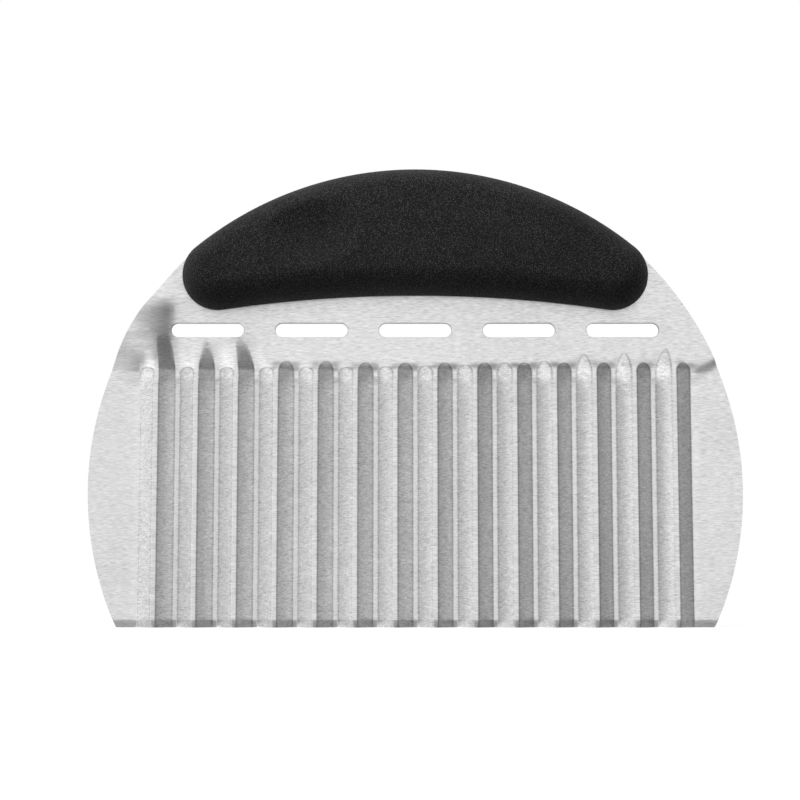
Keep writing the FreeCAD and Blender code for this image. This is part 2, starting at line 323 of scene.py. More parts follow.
def dent(x, z, line, width, height, reach):
    """A smooth step of a height along a line of (z, x) points. It rises over the width and fades on both
    sides over the reach, and at the ends of the line."""
    line_z, line_x = np.array(line).T
    off = x - np.interp(z, line_z, line_x)
    end = (line_z[-1] - line_z[0]) / 3
    comes = smooth_step(line_z[0], line_z[0] + end, z)
    fade = comes * (1 - smooth_step(line_z[-1] - end, line_z[-1], z))
    return height * fade * (smooth_step(-width / 2, width / 2, off) - 0.5) * np.exp(-(off / reach) ** 2)


def bent_corner(x, z):
    """The corner beside the first fold leans forward: to the left of a curved line y falls by
    CORNER_STEEP per mm, and after some millimetres only by CORNER_GENTLE, and the bend fades above and
    below."""
    away = soft_max(np.interp(z, *CORNER_LINE) - x, 0.0, CORNER_BENDS[0])
    past = soft_max(away - np.interp(z, *CORNER_REACH), 0.0, CORNER_BENDS[1])
    lean = CORNER_STEEP * away - (CORNER_STEEP - CORNER_GENTLE) * past
    return -lean * smooth_step(*CORNER_COMES, z) * (1 - smooth_step(*CORNER_GOES, z))


def waviness(x, z):
    """The slight unevenness of pressed sheet: a sum of long shallow waves."""
    return sum(height * np.sin(along * x + up * z + start) for height, along, up, start in WAVES)


def dents(x, z):
    """All dents: the large patch beside the first folds and the marks above the last ones."""
    moved = bent_corner(x, z)
    for shape in DENTS:
        moved += dent(x, z, *shape)
    return moved


def pressed(x, z, side):
    """Y of the front or the back of the sheet at each point of the blank."""
    return fold(x, z, side) + side * SHEET / 2 + waviness(x, z) + dents(x, z)


# %% [markdown]
# ## Filling the blank with points
# A bend needs points every tenth of a millimetre and a flat margin only a few, so the points stand in
# columns that crowd at the bends, and in a fine net at the tips. One more ring of points runs round each
# slot, for the line that the punch left there. The outline and the slots are laid in as fixed lines, and
# triangles that fall outside the sheet are dropped.

# %% Points and triangles of the blank
BURR = 0.28
BEVEL_HEIGHT, BEVEL_DEPTH = 1.9, 0.75
TIP_START, TIP_END, LONG_TIP_END, DENT_END = 63.2, 67.0, 74.4, 90.0
LONG_TIPS_LEFT, LONG_TIPS_RIGHT = -38.0, 35.0
LEAST_GAP = 0.12


def column_places():
    """X of the columns: the same spacing in every half fold, and about 1 mm in the margins."""
    half = np.array([0.0, 0.7, 1.25, 1.5, 1.65, 1.8, 1.95, 2.1, 2.25, 2.5])
    one_face = np.concatenate((-half[:0:-1], half))
    middles = -FIELD + FOLD_PITCH / 4 + FOLD_PITCH / 2 * np.arange(FACES)
    folds = np.unique(np.round(middles[:, None] + one_face, 3))
    margin = np.arange(FIELD + 0.6, DISC_RADIUS, 0.9)
    return np.concatenate((-margin[::-1], folds, margin))


def crossings(columns, rows):
    """A point wherever a column crosses a row."""
    return np.stack(np.meshgrid(columns, rows), -1).reshape(-1, 2)


def net(x_low, x_high, x_step, z_low, z_high, z_step):
    """A plain net of points over a rectangle."""
    return crossings(np.arange(x_low, x_high, x_step), np.arange(z_low, z_high, z_step))


def in_stadium(x, z, grow):
    """True where a point lies in a slot that is grown by a distance."""
    reach = SLOT_LENGTH / 2 - SLOT_WIDTH / 2
    hit = np.zeros(x.shape, dtype=bool)
    for place in SLOT_PLACES:
        along = x - place - np.clip(x - place, -reach, reach)
        hit |= along ** 2 + (z - SLOT_HEIGHT) ** 2 < (SLOT_WIDTH / 2 + grow) ** 2
    return hit


def in_blank(x, z, shrink):
    """True where a point lies in the sheet that is shrunk by a distance: in the round back below the
    shoulder or under the tang's top arc above it, and in no slot."""
    disc = (np.hypot(x, z - DISC_HEIGHT) < DISC_RADIUS - shrink) & (z < TANG_SHOULDER - shrink)
    tang = (np.hypot(x, z - TOP_CENTRE) < TOP_RADIUS - TANG_INSET - shrink) & (z > TANG_SHOULDER - 0.5)
    return (z > shrink) & (disc | tang) & ~in_stadium(x, z, shrink)


low_rows = np.array([0.6, 1.2, BEVEL_HEIGHT - 0.08, BEVEL_HEIGHT + 0.08, 2.6])
fold_rows = np.concatenate((low_rows, np.arange(5.0, FADE_START - 1.0, 4.5),
                            np.arange(FADE_START - 0.5, TIP_START, 0.45)))
grid = np.vstack((
    crossings(column_places(), fold_rows),
    net(-FIELD - 2, FIELD + 2, 0.2, TIP_START, TIP_END, 0.2),
    net(-FIELD - 2, LONG_TIPS_LEFT, 0.22, TIP_END, LONG_TIP_END, 0.25),
    net(LONG_TIPS_RIGHT, FIELD + 2, 0.25, TIP_END, LONG_TIP_END, 0.3),
    net(LONG_TIPS_LEFT, LONG_TIPS_RIGHT, 1.1, TIP_END + 0.2, LONG_TIP_END, 0.8),
    net(-DISC_RADIUS, -FIELD - 2.2, 0.9, TIP_START, LONG_TIP_END, 0.7),
    net(FIELD + 2.2, DISC_RADIUS, 0.9, TIP_START, LONG_TIP_END, 0.7),
    net(-DISC_RADIUS, DISC_RADIUS, 1.0, LONG_TIP_END + 0.3, DENT_END, 0.8),
    net(-DISC_RADIUS, DISC_RADIUS, 2.0, DENT_END + 0.5, GRIP_TOP, 2.0),
    np.vstack([slot_outline(x, BURR) for x in SLOT_PLACES])))
grid = grid[in_blank(grid[:, 0], grid[:, 1], LEAST_GAP)]
starts = np.cumsum([0] + [len(line) for line in outlines])
rings = [np.column_stack((np.arange(a, b), np.roll(np.arange(a, b), -1)))
         for a, b in zip(starts, starts[1:])]
flat = np.vstack(outlines + [grid])
cut_points, _, cut_faces, *_ = delaunay_2d_cdt(flat.tolist(), np.vstack(rings).tolist(), [], 0, 1e-6)
flat = np.array([tuple(point) for point in cut_points])
triangles = np.array(cut_faces)
centres = flat[triangles].mean(axis=1)
triangles = triangles[in_blank(centres[:, 0], centres[:, 1], 0.0)]
print("blank:", len(flat), "points,", len(triangles), "triangles")


# %% [markdown]
# ## The two faces of the sheet
# The front and the back are the same net of points, moved by the press formula of each side, and a
# narrow wall along every cut edge joins them. The grinder then took a bevel off the front along the
# cutting edge.

# %% The pressed sheet as a closed shell
def sheet_side(points, side):
    """Points of the front (side -1) or the back (side 1). At the front the bevel moves the lowest strip
    back in a straight slope, depth (1 - z / height)."""
    x, z = points.T
    y = pressed(x, z, side)
    if side < 0:
        y = y + BEVEL_DEPTH * np.clip(1 - z / BEVEL_HEIGHT, 0, 1)
    return np.column_stack((x, y, z))


def boundary_edges(faces):
    """Edges that only one triangle has, each in that triangle's direction."""
    edges = np.vstack((faces[:, [0, 1]], faces[:, [1, 2]], faces[:, [2, 0]]))
    _, first, count = np.unique(np.sort(edges, axis=1), axis=0, return_index=True, return_counts=True)
    return edges[first[count == 1]]


count = len(flat)
rim = boundary_edges(triangles)
walls = np.vstack((np.column_stack((rim[:, 1], rim[:, 0], rim[:, 0] + count)),
                   np.column_stack((rim[:, 1], rim[:, 0] + count, rim[:, 1] + count))))
shell = np.vstack((triangles, triangles[:, ::-1] + count, walls))
shell_points = np.vstack((sheet_side(flat, -1), sheet_side(flat, 1))) * MM
rim_edges = {(int(min(a, b)), int(max(a, b))) for a, b in np.vstack((rim, rim + count))}


def is_rim(a, b):
    """True for an edge of the cut rim, on the front or the back."""
    low, high = np.minimum(a, b).tolist(), np.maximum(a, b).tolist()
    return np.array([pair in rim_edges for pair in zip(low, high)])


blade = new_piece("pressed_blade", shell_points, shell, is_rim)


# %% [markdown]
# ## The moulded grip
# The grip is a crescent: a top arc, a flatter underside arc and two round ends. Its surface is made of
# closed loops around its section, one beside another from the left end to the right. Each loop starts on
# the top outline, goes over the rounded front edge, down the slightly crowned front, round the lower
# edge and back up behind. A subdivided box would need its creases tuned by hand to get the same arcs.

# %% The grip's surface
EDGE_ROUND = 6.8
EDGE_TURN = math.radians(83.0)
CROWN_SLOPE = 0.12
END_COLUMNS, ARC_COLUMNS = 26, 200
EDGE_STEPS, FRONT_STEPS, LIP_STEPS = 16, 34, 4
MOUTH, LIP, LIP_GAP, GROOVE_DEPTH = 0.52, 0.45, 0.05, 1.6
GROOVE_OPENS = (-0.2, 1.0)
THUMB_PLACE, THUMB_REACH, THUMB_TILT = (-25.4, 97.4), (12.6, 8.5), math.radians(14)
THUMB_DEPTH, THUMB_POWER, THUMB_FADE = 2.2, 1.25, (2.0, 6.0)
GRIP_DEPTH = 2 * grip_high[1]


def outline_pair(inset):
    """The top and the lower line of the outline, both from the left tip to the right one and moved
    inwards. Each is an end circle's arc, x = c - r cos a and z = h + r sin a, then the long arc, then
    the other end's. Point i of one line faces point i of the other."""
    share = np.linspace(0, 1, END_COLUMNS, endpoint=False)[:, None]
    along = np.linspace(-1, 1, ARC_COLUMNS + 1)[:, None]
    end = GRIP_END_RADIUS - inset
    arcs = ((TOP_ANGLE, TOP_ANGLE, TOP_CENTRE, TOP_RADIUS - inset),
            (BOTTOM_ANGLE - math.pi, BOTTOM_ANGLE, BOTTOM_CENTRE, BOTTOM_RADIUS + inset))
    lines = []
    for turn, angle, centre, radius in arcs:
        around = turn * share
        left = np.hstack((-END_OFFSET - end * np.cos(around), END_HEIGHT + end * np.sin(around)))
        across = (math.pi / 2 - angle) * along
        middle = np.hstack((radius * np.sin(across), centre + radius * np.cos(across)))
        lines.append(np.vstack((left, middle, (left * (-1, 1))[::-1])))
    return lines


def grip_steps():
    """The front half of the loop as a list of (line, y), from the top's middle to the groove's middle.
    It is a rounding in = r (1 - cos a) and y = d sin a, the crowned front y = edge + slope h s (1 - s)
    with s from 0 at the top to 1 at the bottom, the same rounding below, and a small lip that turns into
    the groove which the blade stands in. The groove is open where the blade's round back passes, and
    shut at the two tips, where the points have to meet in pairs."""
    turn = np.linspace(0, EDGE_TURN, EDGE_STEPS + 1)
    insets = EDGE_ROUND * (1 - np.cos(turn))
    inner_top, inner_low = outline_pair(insets[-1])
    height = inner_top[:, 1] - inner_low[:, 1]
    depth = (GRIP_DEPTH / 2 - CROWN_SLOPE * height.max() / 4) / math.sin(EDGE_TURN)
    rounding = [(outline_pair(inset), depth * math.sin(a)) for inset, a in zip(insets, turn)]
    # the first steps of the rounding lie within the lip, so they are left out
    rounding = [step for step in rounding if step[1] > MOUTH + LIP + LIP_GAP]
    top_line, low_line = outline_pair(0.0)
    inwards = outline_pair(1.0)[1] - low_line
    in_disc = DISC_RADIUS - np.hypot(low_line[:, 0], low_line[:, 1] - DISC_HEIGHT)
    open_share = smooth_step(*GROOVE_OPENS, in_disc)[:, None]
    open_share[[0, -1]] = 0.0
    lower = []
    for a in np.linspace(0, math.pi / 2, LIP_STEPS + 1):
        moved = inwards * open_share * LIP * (1 - math.cos(a))
        lower.append((low_line + moved, MOUTH + LIP * (1 - math.sin(a))))
    levels = [0.0] + [y for _, y in lower[::-1]]
    lower += [(low_line + inwards * open_share * GROOVE_DEPTH, y) for y in (MOUTH, 0.0)]
    steps = [(top_line, y) for y in levels]
    steps += [(pair[0], y) for pair, y in rounding]
    for s in np.linspace(0, 1, FRONT_STEPS + 1)[1:-1]:
        crown = CROWN_SLOPE * height * s * (1 - s)
        steps.append((inner_top * (1 - s) + inner_low * s, rounding[-1][1] + crown))
    steps += [(pair[1], y) for pair, y in rounding[::-1]] + lower
    return steps


def thumb_rest(x, z):
    """Depth of the thumb's bowl, d (1 - q)^p, where q is the squared distance in a turned ellipse."""
    x, z = x - THUMB_PLACE[0], z - THUMB_PLACE[1]
    along = x * math.cos(THUMB_TILT) + z * math.sin(THUMB_TILT)
    across = z * math.cos(THUMB_TILT) - x * math.sin(THUMB_TILT)
    q = (along / THUMB_REACH[0]) ** 2 + (across / THUMB_REACH[1]) ** 2
    return THUMB_DEPTH * np.clip(1 - q, 0, 1) ** THUMB_POWER


front_half = [np.column_stack((line[:, 0], np.broadcast_to(-y, len(line)), line[:, 1]))
              for line, y in grip_steps()]
back_half = [line * (1, -1, 1) for line in front_half[-2:0:-1]]
loops = np.stack(front_half + back_half, axis=1)
on_front = np.arange(loops.shape[1]) < len(front_half)
bowl = thumb_rest(loops[:, :, 0], loops[:, :, 2]) * smooth_step(*THUMB_FADE, -loops[:, :, 1])
loops[:, :, 1] += on_front * bowl
column_count, step_count = loops.shape[:2]
here = np.arange(column_count * step_count).reshape(column_count, step_count)
after = np.roll(here, -1, axis=1)
grip_faces = np.stack((here[:-1], here[1:], after[1:], after[:-1]), axis=-1).reshape(-1, 4)


# %% [markdown]
# The first and the last loop are folded flat onto the tips, so their points lie on each other in pairs.
# Merging them closes the shell, and then every face is turned outwards.

# %% Close the grip's tips
def weld(piece, distance=1e-7):
    """Merges points that lie on each other and turns the faces of the closed shell outwards."""
    work = bmesh.new()
    work.from_mesh(piece.data)
    bmesh.ops.remove_doubles(work, verts=work.verts, dist=distance)
    bmesh.ops.dissolve_degenerate(work, edges=work.edges, dist=distance)
    bmesh.ops.recalc_face_normals(work, faces=work.faces)
    open_edges = sum(1 for edge in work.edges if not edge.is_manifold)
    work.to_mesh(piece.data)
    work.free()
    print(piece.name, "open edges:", open_edges)


grip = new_piece("moulded_grip", loops.reshape(-1, 3) * MM, grip_faces)
weld(grip)
weld(blade)


# %% [markdown]
# ## What each piece stands for
# The new sheet and grip hide the imported ones, which stay behind for collisions. All of it is one rigid
# object with no moving part, so everything rides on the one body.

# %% Bodies and nodes
for piece, node_name, slot_name in ((blade, "blade", "steel"), (grip, "soft_grip", "grip_rubber")):
    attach(piece, "root")
    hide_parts(node_name)


# %% [markdown]
# ## Shader helpers
# A material is a small graph. A few helpers keep its code short: they add a node and set its inputs, and
# start or place a group, which is a graph that several materials share.

# %% Node helpers
def fill(tree, node, inputs):
    """Sets a node's inputs to values or sockets. A name is the input's own, with an underscore for a
    space, or in_ and the input's place."""
    for name, value in inputs.items():
        socket = node.inputs[int(name[3:]) if name.startswith("in_") else name.replace("_", " ")]
        if isinstance(value, bpy.types.NodeSocket):
            tree.links.new(value, socket)
        else:
            socket.default_value = value
    return node


def add(tree, kind, settings=None, **inputs):
    """Adds a node. settings are its properties, and inputs are what fill takes."""
    node = tree.nodes.new(kind)
    for name, value in (settings or {}).items():
        setattr(node, name, value)
    return fill(tree, node, inputs)


def math_node(tree, operation, first, second=0.0):
    """The output of a Math node on two values or sockets."""
    return add(tree, "ShaderNodeMath", {"operation": operation}, in_0=first, in_1=second).outputs[0]


def new_group(name, inputs, outputs):
    """An empty node group with named sockets, as (group, its input node, its output node)."""
    group = bpy.data.node_groups.new(name, "ShaderNodeTree")
    for direction, sockets in (("INPUT", inputs), ("OUTPUT", outputs)):
        for label, kind in sockets:
            group.interface.new_socket(name=label, in_out=direction, socket_type="NodeSocket" + kind)
    return group, group.nodes.new("NodeGroupInput"), group.nodes.new("NodeGroupOutput")


def use_group(tree, group, **inputs):
    """Places a group in a material."""
    node = tree.nodes.new("ShaderNodeGroup")
    node.node_tree = group
    return fill(tree, node, inputs)


def remap(tree, value, low, high, to_low, to_high):
    """Stretches the range low .. high to another range, and holds it at the ends."""
    node = add(tree, "ShaderNodeMapRange", in_0=value, in_1=low, in_2=high, in_3=to_low, in_4=to_high)
    return node.outputs[0]


def tint(tree, base, shade):
    """A colour times a shade."""
    settings = {"data_type": "RGBA", "blend_type": "MULTIPLY"}
    return add(tree, "ShaderNodeMix", settings, in_0=1.0, in_6=base, in_7=shade).outputs[2]


def new_material(name):
    """A material with one Principled BSDF, as (material, tree, shader, object coordinates)."""
    material = bpy.data.materials.new(name)
    material.use_nodes = True
    tree = material.node_tree
    shader = tree.nodes["Principled BSDF"]
    return material, tree, shader, add(tree, "ShaderNodeTexCoord").outputs["Object"]


# %% [markdown]
# ## Effects that several finishes share
# Brushed steel is covered in fine scratches that run one way. Noise whose coordinates are squeezed along
# one direction and stretched along another looks like that, and fits any size because its scale is in
# metres. Moulded rubber and plastic have an even, pebbly grain from the mould's etched walls. Handling
# leaves a faint, large haze on all of them.

# %% Brushing, moulded grain and haze as groups
FINE_SHARE, COARSE_SHARE = 0.82, 0.18


def brushing_group():
    """Scratches: noise on coordinates times (along, along, across), fine and coarse mixed."""
    group, given, result = new_group(
        "brushing", [("Vector", "Vector"), ("Along", "Float"), ("Across", "Float")],
        [("Streaks", "Float"), ("Height", "Float")])
    layers = []
    for along, across in ((1.0, 1.0), (0.3, 0.2)):
        sideways = math_node(group, "MULTIPLY", given.outputs["Along"], along)
        upwards = math_node(group, "MULTIPLY", given.outputs["Across"], across)
        squeeze = add(group, "ShaderNodeCombineXYZ", X=sideways, Y=sideways, Z=upwards)
        place = add(group, "ShaderNodeVectorMath", {"operation": "MULTIPLY"},
                    in_0=given.outputs["Vector"], in_1=squeeze.outputs[0])
        layers.append(add(group, "ShaderNodeTexNoise", Vector=place.outputs[0], Scale=1.0, Detail=2.0,
                          Roughness=0.6).outputs[0])
    height = math_node(group, "ADD", math_node(group, "MULTIPLY", layers[0], FINE_SHARE),
                       math_node(group, "MULTIPLY", layers[1], COARSE_SHARE))
    fill(group, result, {"Streaks": remap(group, height, 0.3, 0.7, 0.0, 1.0), "Height": height})
    return group


def grain_group():
    """Pebbled grain: cells of about 1 / Scale, with a finer noise on top."""
    group, given, result = new_group("moulded_grain", [("Vector", "Vector"), ("Scale", "Float")],
                                     [("Height", "Float"), ("Pits", "Float")])
    cells = add(group, "ShaderNodeTexVoronoi", {"feature": "SMOOTH_F1"}, Vector=given.outputs["Vector"],
                Scale=given.outputs["Scale"], Smoothness=0.6)
    fine = add(group, "ShaderNodeTexNoise", Vector=given.outputs["Vector"],
               Scale=math_node(group, "MULTIPLY", given.outputs["Scale"], 1.7), Detail=2.0)
    height = math_node(group, "ADD", math_node(group, "MULTIPLY", cells.outputs["Distance"], -0.8),
                       fine.outputs[0])
    fill(group, result, {"Height": height, "Pits": remap(group, height, -0.1, 0.35, 1.0, 0.0)})
    return group


def haze_group():
    """Soft patches of a given size, from 0 to 1."""
    group, given, result = new_group("haze", [("Vector", "Vector"), ("Scale", "Float")], [("Mask", "Float")])
    cloud = add(group, "ShaderNodeTexNoise", Vector=given.outputs["Vector"],
                Scale=given.outputs["Scale"], Detail=3.0, Distortion=0.4)
    fill(group, result, {"Mask": remap(group, cloud.outputs[0], 0.35, 0.68, 0.0, 1.0)})
    return group


brushing, grain, haze = brushing_group(), grain_group(), haze_group()
print("groups:", brushing.name, grain.name, haze.name)


# %% [markdown]
# ## Steel
# The sheet was brushed along its length before it was pressed, so the lines stay level on every face.
# The slopes, where the die pressed, have a coarser grain. Painted shade darkens a line just inside each of
# their edges and round the slots, and darkens the slopes, the right-facing ones most, their tips, the bent
# corner and, a little, the flats and the margins. Where that is follows from the press formula, so three
# attributes of the mesh's points keep it, and the material reads them.

# %% Mark the slopes and their painted shade
# a pair is where a soft step begins and ends. How far inside a slope's edge its coarse grain and painted
# shade are full, below the tips and in them, and between which heights the first turns into the second:
LOW_INSIDE, TIP_INSIDE, TIP_BLUR = (-0.25, 0.15), (-0.7, 1.1), (65.5, 68.5)
# the painted shade line inside a slope's edge: how far in, how wide, its strength and what it gains at the
# tips. Last, its strength round the lower part of a slot; along the slot's upper part it is full.
LINE_IN, LINE_WIDTH, LINE_LOW, LINE_GAIN, LINE_UNDER_SLOT = 0.16, 0.19, 0.63, 0.37, 0.5
# how much painted shade darkens the right-facing slopes from left to right, with a slight wave in it, and in
# the last one
DARK_SLOPE_SHADE, DARK_SPAN, DARK_WAVE, WAVE_STEP, LAST_SLOPE_SHADE = 0.66, (-35.0, 45.0), 0.12, 0.45, 0.45
# painted shade on the light slopes: their caps, which end towards the right, the first slope, and the crest
# side
CAP_SHADE, CAP_SPAN, FIRST_SLOPE_SHADE, CREST_SHADE, CREST_SPAN = 0.45, (20.0, 40.0), 0.4, 0.34, (-1.6, 1.8)
# painted shade on the flats between the slopes, what a valley adds towards the left, and on the margins with
# the heights between which they fade
FLAT_SHADE, VALLEY_SHADE, VALLEY_SPAN, MARGIN_SHADE, MARGIN_SPAN = 0.15, 0.12, (-70.0, 60.0), 0.1, (58.0, 66.0)
# the bent corner's painted shade: heights, and there the line's X and the band's width to its left and right
BAND_HEIGHTS = [64.0, 69.0, 74.0, 78.0, 82.0]
BAND = [[-62.5, -63.2, -63.8, -64.2, -62.8], [2.2, 3.0, 5.0, 6.5, 5.0], [2.0, 2.3, 2.8, 3.6, 3.8]]
BAND_STRENGTH, BAND_COMES, BAND_GOES = 1.25, (64.8, 68.0), (79.0, 84.5)


def inside_slope(x, z):
    """Distance from each point to the edge of its own sloping face, positive inside, as
    (half width - |x from the middle|) / sqrt(1 + half width'^2), and the face's number."""
    number = np.clip(np.floor((x + FIELD) / (FOLD_PITCH / 2)), 0, FACES - 1).astype(int)
    distance = np.full_like(x, -9.0)
    for face in range(FACES):
        here = np.abs(number - face) <= 1
        half, lean = half_width(z[here], face)
        rise = (half_width(z[here] + 0.05, face)[0] - half_width(z[here] - 0.05, face)[0]) / 0.1
        inside = (half - np.abs(x[here] - face_middle(face) - lean)) / np.sqrt(1 + rise ** 2)
        inside[half < 0.05] = -9.0
        number[here] = np.where(inside > distance[here], face, number[here])
        distance[here] = np.maximum(distance[here], inside)
    return distance, number


def slope_marks(x, z):
    """Three marks from 0 to 1. edge is a painted shade line, a narrow band just inside the edge of every
    sloping face, exp(-(d / w)^2), and around the slots. slope is the inside of every face. The third mark
    is painted shade: most on the right-facing slopes towards the right end of the blade, in their tips
    and on the bent corner, less on the crest side of the left-facing ones, and a little on the narrow
    flats and the margins."""
    distance, number = inside_slope(x, z)
    is_dark = number % 2
    high = smooth_step(*TIP_BLUR, z)
    inside = (1 - high) * smooth_step(*LOW_INSIDE, distance) + high * smooth_step(*TIP_INSIDE, distance)
    # painted shade: a dark line just inside each slope's edge, stronger at the tips
    strength = LINE_LOW + LINE_GAIN * smooth_step(FOLD_TOP - 1.5, FOLD_TOP, z)
    edge = np.exp(-((distance - LINE_IN) / LINE_WIDTH) ** 2) * strength
    edge *= 1 - is_dark * smooth_step(FOLD_TOP + 1.5, FOLD_TOP + 4.0, z)
    # painted shade round the slots, full along their upper part and weaker below
    strength = np.where(z > SLOT_HEIGHT - 1.0, 1.0, LINE_UNDER_SLOT)
    edge = np.maximum(edge, in_stadium(x, z, BURR / 3) * strength)

    # painted shade: the right-facing slopes, darkest towards the right, their tips and the bent corner
    along = smooth_step(*DARK_SPAN, x) + DARK_WAVE * np.sin(WAVE_STEP * x)
    along = np.where(number == FACES - 1, LAST_SLOPE_SHADE, along)
    in_tip = smooth_step(FOLD_TOP + 0.3, FOLD_TOP + 1.3, z) * (1 - 0.5 * smooth_step(68.0, 73.5, z))
    painted_shade = np.maximum(inside * is_dark * np.maximum(DARK_SLOPE_SHADE * along, in_tip), corner_painted_shade(x, z))
    # painted shade on the left-facing slopes: their caps, the first one and the crest side
    light = CAP_SHADE * smooth_step(FADE_START, FOLD_TOP, z) * (1 - smooth_step(*CAP_SPAN, x))
    light = np.maximum(light, FIRST_SLOPE_SHADE * (number == 0))
    light = np.maximum(light, CREST_SHADE * smooth_step(*CREST_SPAN, x - face_middle(number)))
    painted_shade = np.maximum(painted_shade, inside * (1 - is_dark) * light)

    # painted shade on the narrow flats, more in the valleys on the left, and on the margins
    valley = smooth_step(-0.5, 0.5, np.cos(2 * np.pi * (x + FIELD) / FOLD_PITCH))
    valley = valley * (1 - smooth_step(*VALLEY_SPAN, x))
    below_tips = 1 - smooth_step(FOLD_TOP - 2.0, FOLD_TOP, z)
    strips = (1 - inside) * smooth_step(FIELD, FIELD - 1.0, np.abs(x)) * below_tips
    margins = smooth_step(FIELD, FIELD + 2.0, np.abs(x)) * (1 - smooth_step(*MARGIN_SPAN, z))
    painted_shade = np.maximum(painted_shade, strips * (FLAT_SHADE + VALLEY_SHADE * valley) + MARGIN_SHADE * margins)
    return {"edge": edge, "slope": inside, "painted_shade": np.clip(painted_shade, 0, 1)}


def corner_painted_shade(x, z):
    """Painted shade on the bent corner: a band exp(-(off / width)^2) around a curved line, wider on
    its left, that starts in the first dark tip and fades below the grip."""
    line, left, right = (np.interp(z, BAND_HEIGHTS, values) for values in BAND)
    band = np.minimum(BAND_STRENGTH * np.exp(-((x - line) / np.where(x < line, left, right)) ** 2), 1.0)
    return band * smooth_step(*BAND_COMES, z) * (1 - smooth_step(*BAND_GOES, z))


coordinates = np.empty(3 * len(blade.data.vertices))
blade.data.vertices.foreach_get("co", coordinates)
coordinates = coordinates.reshape(-1, 3) / MM
for mark_name, values in slope_marks(coordinates[:, 0], coordinates[:, 2]).items():
    marks = blade.data.attributes.new(mark_name, "FLOAT", "POINT")
    marks.data.foreach_set("value", values)
    print("mark", mark_name, "covers", round(float(values.mean()), 3), "of the points")


# %% Brushed steel and the ground edge
SCRATCH_DEPTH, GRAIN_DEPTH = 0.00002, 0.0001


def steel_material(name, base, rough, along, across, bump, spread):
    """Metal with brushing: darker and rougher where a scratch is deep. The point marks add painted shade
    at the bends, round the slots, on the slopes and on the bent corner.
    """
    material, tree, shader, place = new_material(name)
    lines = use_group(tree, brushing, Vector=place, Along=along, Across=across)
    patches = use_group(tree, haze, Vector=place, Scale=38.0)
    edge, slope, painted_shade = (add(tree, "ShaderNodeAttribute", {"attribute_name": mark}).outputs["Fac"]
                        for mark in ("edge", "slope", "painted_shade"))
    coarse = use_group(tree, brushing, Vector=place, Along=1300.0, Across=5200.0)
    shade = remap(tree, lines.outputs["Streaks"], 0.0, 1.0, 0.76, 1.22)
    coarse = math_node(tree, "MULTIPLY", math_node(tree, "SUBTRACT", coarse.outputs["Streaks"], 0.5), slope)
    shade = math_node(tree, "ADD", shade, math_node(tree, "MULTIPLY", coarse, 0.5))
    # a random dull haze, then the painted shade line at the edges and the painted shade of the third mark
    for mask, darkest in ((patches.outputs["Mask"], 0.975), (edge, 0.62), (painted_shade, 0.55)):
        shade = math_node(tree, "MULTIPLY", shade, remap(tree, mask, 0.0, 1.0, 1.0, darkest))
    roughness = remap(tree, lines.outputs["Streaks"], 0.0, 1.0, rough + spread, rough - spread)
    dull = remap(tree, patches.outputs["Mask"], 0.0, 1.0, 0.0, 0.04)
    relief = add(tree, "ShaderNodeBump", Strength=bump, Distance=SCRATCH_DEPTH,
                 Height=lines.outputs["Height"])
    fill(tree, shader, {"Base Color": tint(tree, base, shade), "Metallic": 1.0,
                        "Roughness": math_node(tree, "ADD", roughness, dull), "Normal": relief.outputs[0]})
    return material


brushed = steel_material("brushed_sheet", (0.82, 0.82, 0.825, 1.0), 0.43, 600.0, 6500.0, 0.35, 0.06)
ground = steel_material("ground_edge", (0.72, 0.72, 0.73, 1.0), 0.42, 900.0, 5000.0, 0.3, 0.05)
cut_edge = steel_material("cut_edge", (0.34, 0.34, 0.35, 1.0), 0.5, 900.0, 900.0, 0.4, 0.08)
for finish in (brushed, ground, cut_edge):
    blade.data.materials.append(finish)
centre = np.empty(3 * len(blade.data.polygons))
blade.data.polygons.foreach_get("center", centre)
normal = np.empty(3 * len(blade.data.polygons))
blade.data.polygons.foreach_get("normal", normal)
in_bevel = (centre[2::3] < BEVEL_HEIGHT * MM) & (normal[1::3] < -0.05)
on_cut = np.abs(normal[1::3]) < 0.02
blade.data.polygons.foreach_set("material_index", np.where(on_cut, 2, in_bevel).astype(np.int32))
print("ground faces", int(in_bevel.sum()), "cut faces", int(on_cut.sum()))


# %% [markdown]
# ## Rubber, core plastic and rivet metal
# The grip is soft black rubber with a fine grain; painted highlights lighten the tops of its pebbles into
# specks and painted shade darkens its pits. The core halves and the rivets are hidden inside it, but with
# the grip taken off they are finished pieces: a harder moulded plastic, and drawn aluminium with a fine even
# grain.

# %% The other finishes
def moulded_material(name, base, rough, grain_scale, bump, specular, speck_paint):
    """Moulded polymer: grain as relief, painted highlight specks on its tops and painted shade in its
    pits, and rougher pits.
    """
    material, tree, shader, place = new_material(name)
    pebbles = use_group(tree, grain, Vector=place, Scale=grain_scale)
    patches = use_group(tree, haze, Vector=place, Scale=55.0)
    # painted highlights lighten the colour on the grain's tops, and painted shade darkens it in the pits
    painted_specks = remap(tree, pebbles.outputs["Pits"], 0.0, 0.28, 1.0 + 2.2 * speck_paint, 1.0 - 0.25 * speck_paint)
    shade = math_node(tree, "MULTIPLY", painted_specks, remap(tree, patches.outputs["Mask"], 0.0, 1.0, 0.92, 1.1))
    roughness = remap(tree, pebbles.outputs["Pits"], 0.0, 1.0, rough - 0.06, rough + 0.08)
    dull = remap(tree, patches.outputs["Mask"], 0.0, 1.0, 0.03, -0.03)
    relief = add(tree, "ShaderNodeBump", Strength=bump, Distance=GRAIN_DEPTH,
                 Height=pebbles.outputs["Height"])
    fill(tree, shader, {"Base Color": tint(tree, base, shade), "Specular IOR Level": specular,
                        "Roughness": math_node(tree, "ADD", roughness, dull), "Normal": relief.outputs[0]})
    return material


